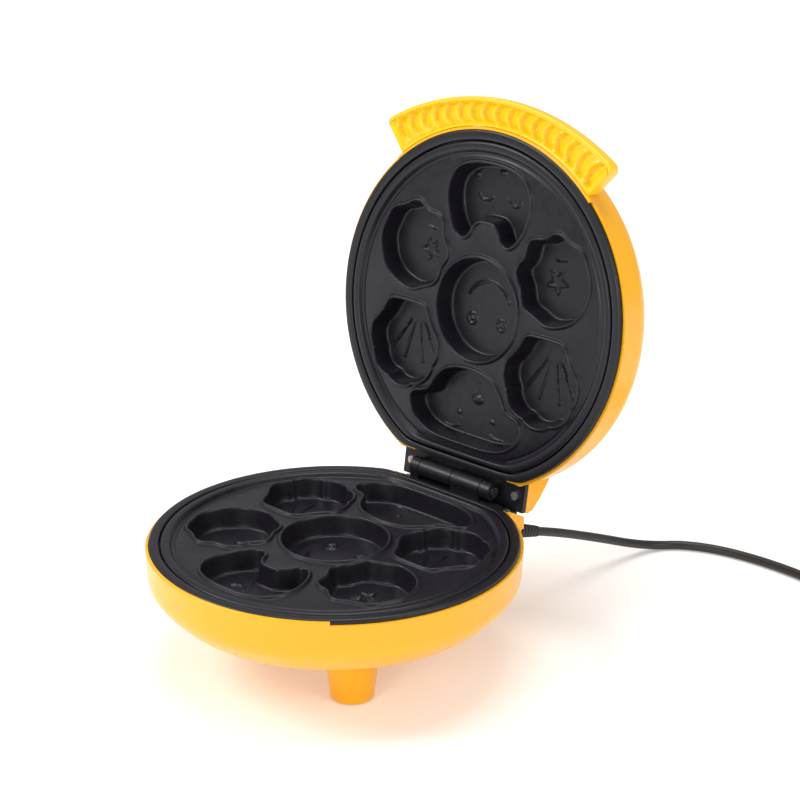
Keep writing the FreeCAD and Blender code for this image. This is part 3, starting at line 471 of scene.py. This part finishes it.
def cat_relief(x, y):
    height = 0.0
    for side in (-1, 1):
        height = max(height, bump_of(arc_distance(x, y, (11.0 * side, 0.0), 6.0, 35, 145), 1.8, 1.0))
    nose = math.hypot(x / 3.0, (y + 12.0) / 2.4)
    height = max(height, 1.3 * max(0.0, 1 - nose * nose))
    for place in ((-19.0, -8.0), (-16.5, -12.5), (-13.0, -16.0)):
        height = max(height, 1.2 * max(0.0, 1 - (math.dist((x, y), place) / 2.2) ** 2))
    return height


def dog_relief(x, y):
    height = 0.0
    for side in (-1, 1):
        height = max(height, 1.0 * max(0.0, 1 - (math.dist((x, y), (13.0 * side, 3.0)) / 1.7) ** 2))
        height = max(height, bump_of(arc_distance(x, y, (20.0 * side, -2.0), 15.0,
                                                  60 if side < 0 else 80,
                                                  100 if side < 0 else 120), 1.6, 0.9))
    nose = math.hypot(x / 5.0, (y + 8.0) / 3.2)
    height = max(height, 1.4 * max(0.0, 1 - nose * nose))
    return max(height, bump_of(segment_distance(x, y, (0.0, -11.0), (0.0, -17.0)), 1.7, 1.0))


MOULDS = {
    "centre": ([(CENTRE_RADIUS * math.cos(a), CENTRE_RADIUS * math.sin(a)) for a in ring_angles(160)],
               (0.0, 0.0), smile_relief),
    "cat": (smooth_closed(mirrored(CAT_HALF), 10), (0.0, -68.5), cat_relief),
    "dog": (smooth_closed(mirrored(DOG_HALF), 10), (0.0, 64.0), dog_relief),
    "left_shell": (shell_outline(-53.0, 31.5), (-53.0, 31.5), shell_relief),
    "right_shell": (shell_outline(53.0, 31.5), (53.0, 31.5), shell_relief),
    "left_cloud": (cloud_outline(1), (-53.5, -28.2), cloud_relief),
    "right_cloud": (cloud_outline(-1), (53.5, -28.2), cloud_relief),
}
FIELD = -2.0
WALL_RINGS = ((2.9, FIELD), (2.55, FIELD + 0.04), (2.25, FIELD + 0.35), (2.0, FIELD + 0.95),
              (1.7, FIELD + 1.4), (1.25, FIELD + 1.6), (0.75, FIELD + 1.58), (0.35, FIELD + 1.3),
              (0.1, FIELD + 0.75), (-0.05, FIELD - 0.1), (-0.55, -5.5), (-1.15, -9.5), (-1.5, -11.6),
              (-1.8, -12.4), (-2.4, -12.9), (-3.2, -13.0))
FLOOR = -13.0
OUTLINE_POINTS = 180
FLOOR_RINGS = 34


def add_mould(bm, name):
    """Lip, wall and floor of one mould; returns its outer flat loop."""
    outline, centre, relief = MOULDS[name]
    outline = relaxed(even_loop(outline, OUTLINE_POINTS), 2)
    loops = []
    for offset, height in WALL_RINGS:
        loops.append([(x, y, height) for x, y in offset_outline(outline, offset)])
    inner = offset_outline(outline, WALL_RINGS[-1][0])
    for ring in range(1, FLOOR_RINGS):
        share = 1 - ring / FLOOR_RINGS
        loop = []
        for x, y in inner:
            dx, dy = (x - centre[0]) * share, (y - centre[1]) * share
            mirror = -1 if name == "right_cloud" else 1
            loop.append((centre[0] + dx, centre[1] + dy, FLOOR + relief(dx * mirror, dy)))
        loops.append(loop)
    rows = add_loops(bm, loops)
    middle = bm.verts.new((centre[0], centre[1], FLOOR + relief(0.0, 0.0)))
    last = rows[-1]
    for index in range(len(last)):
        bm.faces.new((last[index], last[(index + 1) % len(last)], middle))
    return rows[0]


# ---------------------------------------------------------------- plates and trim rings

FIELD_EDGE = 89.2
PLATE_EDGE = 98.4
RIM_SEGMENTS = 256
PLATE_PROFILE = [(FIELD_EDGE, FIELD), (FIELD_EDGE + 0.5, FIELD - 0.15), (FIELD_EDGE + 0.9, FIELD - 0.6),
                 (FIELD_EDGE + 2.4, FIELD - 0.7), (FIELD_EDGE + 2.9, FIELD - 0.2),
                 (93.0, -0.9), (93.6, -0.3), (94.4, -0.03), (95.4, 0.0), (96.6, -0.02),
                 (97.4, -0.2), (98.0, -0.6), (98.3, -1.2), (98.35, -4.4), (FIELD_EDGE, -4.5)]
TRIM_PROFILE = [(99.1, -4.4), (99.1, -0.9), (99.3, -0.45), (99.8, -0.15), (100.6, -0.02),
                (101.8, 0.0), (103.6, -0.02), (104.4, -0.18), (104.85, -0.6), (105.0, -1.2),
                (105.0, -3.0), (102.0, -3.1), (102.0, -6.1), (96.2, -6.1), (96.2, -4.8)]


def chord_warp(point, radius, inner_chord=84.6, outer_chord=90.0, soft=2.4):
    """Flatten the rear of a ring: Y stops softly at a chord that depends on the radius."""
    share = (radius - FIELD_EDGE) / (PLATE_EDGE - FIELD_EDGE)
    chord = inner_chord + share * (outer_chord - inner_chord)
    x, y, z = point
    over = y - (chord - soft)
    if over > 0:
        y = chord - soft * math.exp(-over / soft)
    return (x, y, z)


def plate_piece(side):
    """A cast plate: the moulds, the stepped edge, and the flat field filled in between them."""
    bm = bmesh.new()
    rims = [add_mould(bm, name) for name in MOULDS]
    rows = lathe(bm, PLATE_PROFILE, segments=RIM_SEGMENTS, warp=chord_warp, close=False)
    coordinates = []
    edges = []
    loops = [rows[0]] + rims
    for loop in loops:
        first = len(coordinates)
        coordinates += [Vector((v.co.x, v.co.y)) for v in loop]
        edges += [(first + i, first + (i + 1) % len(loop)) for i in range(len(loop))]
    flat = delaunay_2d_cdt(coordinates, edges, [], 0, 0.00001)
    points, faces, origin = flat[0], flat[2], flat[3]
    source = [v for loop in loops for v in loop]
    border = [(v.co.x, v.co.y) for v in rows[0]]
    holes = [[(v.co.x, v.co.y) for v in loop] for loop in rims]
    verts = [source[origin[i][0]] if origin[i] else bm.verts.new((p.x, p.y, FIELD))
             for i, p in enumerate(points)]
    for face in faces:
        x = sum(points[i].x for i in face) / len(face)
        y = sum(points[i].y for i in face) / len(face)
        if any(inside(x, y, hole) for hole in holes) or not inside(x, y, border):
            continue
        bm.faces.new([verts[i] for i in face])
    mesh = mesh_from(bm, side + "_plate_cast", side_matrix(side), 50.0)
    return finish_piece(side + "_plate_cast", mesh, "nonstick_coating", BODY_OF[side],
                        [side + "_plate"])


def inside(x, y, loop):
    """Whether a point lies inside a closed outline (the even-odd rule)."""
    hit = False
    for (x0, y0), (x1, y1) in zip(loop, loop[1:] + loop[:1]):
        if (y0 > y) != (y1 > y) and x < (x1 - x0) * (y - y0) / (y1 - y0) + x0:
            hit = not hit
    return hit


def trim_warp(point, radius):
    return chord_warp(point, radius, 84.9, 90.6, 2.6)


def trim_piece(side):
    """The black ring round a plate, flattened at the rear like the plate itself."""
    bm = bmesh.new()
    lathe(bm, TRIM_PROFILE, segments=RIM_SEGMENTS, warp=trim_warp)
    mesh = mesh_from(bm, side + "_trim", side_matrix(side), 50.0)
    return finish_piece(side + "_trim", mesh, "black_plastic", BODY_OF[side], [side + "_trim_ring"])


for which in ("lower", "upper"):
    plate_piece(which)
    trim_piece(which)


# ---------------------------------------------------------------- handle

HALF_HANDLE = 41.0                  # degrees either side of the front
GRIP_ARC = 157.0                    # radius of the outer edge
GRIP_SETBACK = 33.5                 # middle of that arc, behind the plate's middle
GRIP_CORNER = 5.0
CORNER_ANGLE = 2.2
GRIP_TOP = -0.8
GRIP_BOTTOM = -11.2
GRIP_INSIDE = ((108.5, GRIP_BOTTOM), (106.95, -10.9), (106.95, -1.3), (107.15, -0.9),
               (108.0, -0.85), (108.4, -1.2))
GRIP_OUTSIDE = ((-2.6, -1.9), (-2.3, -1.1), (-1.8, -0.82), (-0.9, GRIP_TOP), (-0.4, -0.95),
                (-0.1, -1.5), (0.0, -2.4), (0.0, -6.6), (-0.4, -8.3), (-1.4, -9.8), (-2.8, -10.8),
                (-4.6, GRIP_BOTTOM))
FLOOR_START = 108.7
GRIP_LIP = 2.9
FLOOR_STEPS = 14
TEETH = 17
TEETH_STEPS = 14


def eased(value):
    value = max(0.0, min(1.0, value))
    return value * value * (3 - 2 * value)


def grip_reach(angle):
    """Radius of the grip's outer edge: a flatter arc than the plate's, rounded at its ends."""
    turn = math.radians(angle)
    into = max(0.0, 1 - (HALF_HANDLE - abs(angle)) / CORNER_ANGLE)
    return (math.sqrt(GRIP_ARC ** 2 - (GRIP_SETBACK * math.sin(turn)) ** 2)
            - GRIP_SETBACK * math.cos(turn) - GRIP_CORNER * (1 - math.sqrt(1 - into * into)))


def grip_floor(angle, across):
    """Height of the ribbed hollow: overlapping crescent steps, level with the lips at its ends."""
    turn = angle + 1.9 * (1 - across * across)
    pitch = 2 * (HALF_HANDLE - 1.4) / TEETH
    share = ((turn + HALF_HANDLE) / pitch) % 1.0
    step = share / 0.82 if share < 0.82 else (1 - share) / 0.18
    height = -4.9 + 2.6 * eased(step) * (1 - 0.25 * across * across)
    rim = eased((abs(across) - 0.86) / 0.14)
    height += (-1.9 - height) * rim
    end = eased((abs(angle) - (HALF_HANDLE - 2.4)) / 1.2)
    return height + (-0.85 - height) * end


def grip_loop(angle, shrink=0.0):
    """One section of the handle as points; shrink rounds the ends."""
    reach = grip_reach(angle)
    section = list(GRIP_INSIDE)
    for step in range(FLOOR_STEPS + 1):
        share = step / FLOOR_STEPS
        radius = FLOOR_START + (reach - GRIP_LIP - FLOOR_START) * share
        section.append((radius, grip_floor(angle, 2 * share - 1)))
    section += [(reach + outward, height) for outward, height in GRIP_OUTSIDE]
    turn = math.radians(angle - 90)
    loop = []
    for radius, height in section:
        radius = min(radius, reach - shrink)
        height = max(GRIP_BOTTOM + shrink, min(GRIP_TOP - shrink, height))
        loop.append((radius * math.cos(turn), radius * math.sin(turn), height))
    return loop


def handle_piece():
    bm = bmesh.new()
    count = TEETH * TEETH_STEPS
    loops = [grip_loop(-HALF_HANDLE, 1.2), grip_loop(-HALF_HANDLE + 0.12, 0.5)]
    for index in range(count + 1):
        loops.append(grip_loop(-HALF_HANDLE + 0.4 + (2 * HALF_HANDLE - 0.8) * index / count))
    loops += [grip_loop(HALF_HANDLE - 0.12, 0.5), grip_loop(HALF_HANDLE, 1.2)]
    add_loops(bm, loops, cap_start=True, cap_end=True)
    mesh = mesh_from(bm, "ribbed_handle", side_matrix("upper"), 38.0)
    piece = finish_piece("ribbed_handle", mesh, "yellow_plastic", "lid", ["handle"])
    # The handle's copy of the yellow plastic is lighter and more lemon: painted light standing in for the light
    # that falls on its top.
    mesh.materials[0] = yellow_plastic("yellow_plastic_painted_lit", (0.93, 0.54, 0.003))
    return piece


handle_piece()


# ---------------------------------------------------------------- cord, strain relief and plug

CORD_EXIT_Y = 110.6
CORD_TILT = math.radians(19.5)
CORD_DROP = 20.5
CORD_DIAMETER = 0.0056
CORD_ROUTE = ((38, 135.1, 44.8), (38.5, 152, 38.8), (39.5, 175, 29.6), (41, 199, 19.6),
              (44, 222, 9.8), (49, 243, 2.9), (62, 257, 2.9), (82, 266, 2.9), (104, 270, 2.9),
              (128, 271, 2.9), (152, 269, 2.9))
COIL_CENTRE = (184.0, 295.0)
COIL_RADII = (33.8, 28.2)
COIL_LEVELS = (2.9, 8.5)
COIL_START = -103.6                 # degrees, where the cord meets the coil
INWARD_AT = 0.7                     # turns after which the cord moves in, up and out again
UPWARD_AT = 1.7
OUTWARD_AT = 2.7
SIDE_SHIFT = 0.35                   # turns that a step in or out takes
UPWARD_SHIFT = 0.33
CLIMB_TURNS = 0.25                  # the part of a turn on which the cord climbs to the plug
POINTS_A_TURN = 18
PLUG_SIDE = 22.0                    # plug's middle line, behind the coil's middle
LAST_BEND = 26.0                    # radius of the bend that leads into the plug
LAST_STEPS = 5
PLUG_HEIGHT = 18.4
BASE = Matrix.Translation((0, MIDDLE, 0)) @ Matrix.Scale(MM, 4)


def coil_points():
    """An outer and an inner turn on the table, the same on top of them, then up to the plug."""
    points = []
    closer = COIL_RADII[0] - LAST_BEND
    last_angle = math.asin((PLUG_SIDE - LAST_BEND) / closer)
    turns = 3 + (math.degrees(last_angle) - COIL_START) / 360
    steps = int(turns * POINTS_A_TURN)
    for step in range(steps + 1):
        turn = turns * step / steps
        inward = eased((turn - INWARD_AT) / SIDE_SHIFT) - eased((turn - OUTWARD_AT) / SIDE_SHIFT)
        radius = COIL_RADII[0] + (COIL_RADII[1] - COIL_RADII[0]) * inward
        upward = eased((turn - UPWARD_AT) / UPWARD_SHIFT)
        height = COIL_LEVELS[0] + (COIL_LEVELS[1] - COIL_LEVELS[0]) * upward
        climb = eased(1 + (turn - turns) / CLIMB_TURNS)
        height += (PLUG_HEIGHT - COIL_LEVELS[1]) * climb
        angle = math.radians(COIL_START + 360 * turn)
        points.append((COIL_CENTRE[0] + radius * math.cos(angle),
                       COIL_CENTRE[1] + radius * math.sin(angle), height))
    for step in range(1, LAST_STEPS + 1):
        angle = last_angle + (math.pi / 2 - last_angle) * step / LAST_STEPS
        points.append((COIL_CENTRE[0] + closer * math.cos(last_angle) + LAST_BEND * math.cos(angle),
                       COIL_CENTRE[1] + closer * math.sin(last_angle) + LAST_BEND * math.sin(angle),
                       PLUG_HEIGHT))
    points.append((COIL_CENTRE[0] - 2.0, COIL_CENTRE[1] + PLUG_SIDE, PLUG_HEIGHT))
    return points


RELIEF_RIBS = 6
RIB_PITCH = 3.3
RELIEF_WIDE = 4.6
RELIEF_TAPER = 1.15


def relief_piece():
    """A ribbed tapered sleeve round the cord where it leaves the base."""
    bm = bmesh.new()
    profile = [(2.9, -2.0), (3.5, -2.0), (3.5, 2.4), (4.7, 2.4), (4.9, 2.8), (4.9, 4.2),
               (RELIEF_WIDE, 4.6)]
    for number in range(RELIEF_RIBS):
        start = 5.2 + number * RIB_PITCH
        radius = RELIEF_WIDE - RELIEF_TAPER * (number + 0.5) / RELIEF_RIBS
        profile += [(radius - 0.45, start), (radius - 0.45, start + 0.9), (radius, start + 1.2),
                    (radius - 0.08, start + 2.6), (radius - 0.4, start + 2.9)]
    profile += [(3.3, 25.2), (3.2, 26.0), (2.9, 26.2)]
    lathe(bm, profile, segments=64)
    place = (BASE @ Matrix.Translation((CORD_ROUTE[0][0], CORD_EXIT_Y, RIM / MM - CORD_DROP))
             @ Matrix.Rotation(-math.pi / 2 - CORD_TILT, 4, "X"))
    mesh = mesh_from(bm, "ribbed_relief", place, 35.0)
    return finish_piece("ribbed_relief", mesh, "black_rubber", "base", ["cord_strain_relief"])


PLUG_SECTIONS = ((8.2, 3.3, 3.3, 2.0), (7.6, 3.8, 3.8, 2.0), (2.0, 4.3, 4.3, 2.0),
                 (-3.6, 5.1, 5.1, 2.0), (-5.0, 6.1, 6.0, 2.1), (-9.0, 7.0, 6.4, 2.2),
                 (-14.0, 8.2, 6.5, 2.5), (-18.2, 11.6, 6.5, 3.0), (-20.6, 14.2, 6.5, 3.6),
                 (-22.0, 14.9, 6.5, 4.0), (-27.0, 15.0, 6.5, 4.0), (-27.8, 14.6, 6.1, 4.0),
                 (-28.0, 13.8, 5.4, 4.0))


def plug_piece():
    """A moulded two-pin plug: a loft of rounded sections along the cord's end."""
    bm = bmesh.new()
    loops = []
    for x, wide, high, power in PLUG_SECTIONS:
        loop = []
        for angle in ring_angles(64):
            c, d = math.cos(angle), math.sin(angle)
            loop.append((COIL_CENTRE[0] + x,
                         COIL_CENTRE[1] + PLUG_SIDE + wide * math.copysign(abs(c) ** (2 / power), c),
                         PLUG_HEIGHT + high * math.copysign(abs(d) ** (2 / power), d)))
        loops.append(loop)
    add_loops(bm, loops, cap_start=True, cap_end=True)
    mesh = mesh_from(bm, "moulded_plug", BASE, 35.0)
    return finish_piece("moulded_plug", mesh, "black_rubber", "base", ["plug_body"])


def cord_piece(plug):
    curve = bpy.data.curves.new("mains_cord", "CURVE")
    curve.dimensions = "3D"
    curve.bevel_depth = CORD_DIAMETER / 2
    curve.bevel_resolution = 6
    curve.use_fill_caps = True
    spline = curve.splines.new("NURBS")
    points = [BASE @ Vector(point) for point in list(CORD_ROUTE) + coil_points()]
    spline.points.add(len(points) - 1)
    for target, point in zip(spline.points, points):
        target.co = (*point, 1.0)
    spline.order_u = 3
    spline.use_endpoint_u = True
    spline.resolution_u = 8
    curve.materials.append(SLOTS["cord_rubber"])
    cord = bpy.data.objects.new("mains_cord", curve)
    bpy.context.scene.collection.objects.link(cord)
    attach(cord, "base")
    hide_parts("power_cord", "cord_coil")
    return cord


relief_piece()
cord_piece(plug_piece())


# ---------------------------------------------------------------- floor and light

def make_stage():
    """A plain pale floor with a painted glow of its own that grows with the distance from the object: the glowing
    floor stands in for a studio sweep's light on the object's glossy sides.
    """
    bm = bmesh.new()
    bmesh.ops.create_grid(bm, x_segments=1, y_segments=1, size=4.0)
    mesh = bpy.data.meshes.new("floor")
    bm.to_mesh(mesh)
    bm.free()
    floor = bpy.data.objects.new("floor", mesh)
    bpy.context.scene.collection.objects.link(floor)
    material = new_material("floor", (0.90, 0.90, 0.90), 0.7, specular=0.2)
    shader = material.node_tree.nodes["Principled BSDF"]
    shader.inputs["Emission Color"].default_value = (1, 1, 1, 1)
    nodes = material.node_tree.nodes
    links = material.node_tree.links
    place = nodes.new("ShaderNodeTexCoord")
    distance = nodes.new("ShaderNodeVectorMath")
    distance.operation = "LENGTH"
    # Painted glow: the floor's emission strength, weaker near the object and stronger further out.
    painted_sweep_glow = nodes.new("ShaderNodeMapRange")
    painted_sweep_glow.inputs["From Min"].default_value = 0.5
    painted_sweep_glow.inputs["From Max"].default_value = 1.8
    painted_sweep_glow.inputs["To Min"].default_value = 0.20
    painted_sweep_glow.inputs["To Max"].default_value = 0.62
    links.new(place.outputs["Object"], distance.inputs[0])
    links.new(distance.outputs["Value"], painted_sweep_glow.inputs["Value"])
    links.new(painted_sweep_glow.outputs["Result"], shader.inputs["Emission Strength"])
    mesh.materials.append(material)


def area_light(name, place, aim, size, power):
    data = bpy.data.lights.new(name, "AREA")
    data.shape = "DISK"
    data.size = size
    data.energy = power
    lamp = bpy.data.objects.new(name, data)
    bpy.context.scene.collection.objects.link(lamp)
    lamp.location = place
    lamp.rotation_euler = (Vector(aim) - Vector(place)).to_track_quat("-Z", "Y").to_euler()


make_stage()
area_light("key", (-0.9, -1.0, 1.3), (0, 0, 0.1), 0.8, 16)
area_light("front", (0.35, -1.5, 0.55), (0, 0, 0.1), 0.5, 6)
area_light("right", (1.5, 0.1, 0.8), (0, 0, 0.15), 0.8, 7)
area_light("top", (-0.1, 0.2, 1.9), (0, 0, 0.1), 1.2, 17)
world = bpy.data.worlds.new("world")
world.use_nodes = True
world.node_tree.nodes["Background"].inputs["Color"].default_value = (1, 1, 1, 1)
world.node_tree.nodes["Background"].inputs["Strength"].default_value = 0.45
bpy.context.scene.world = world
bpy.context.scene.view_settings.view_transform = "Standard"
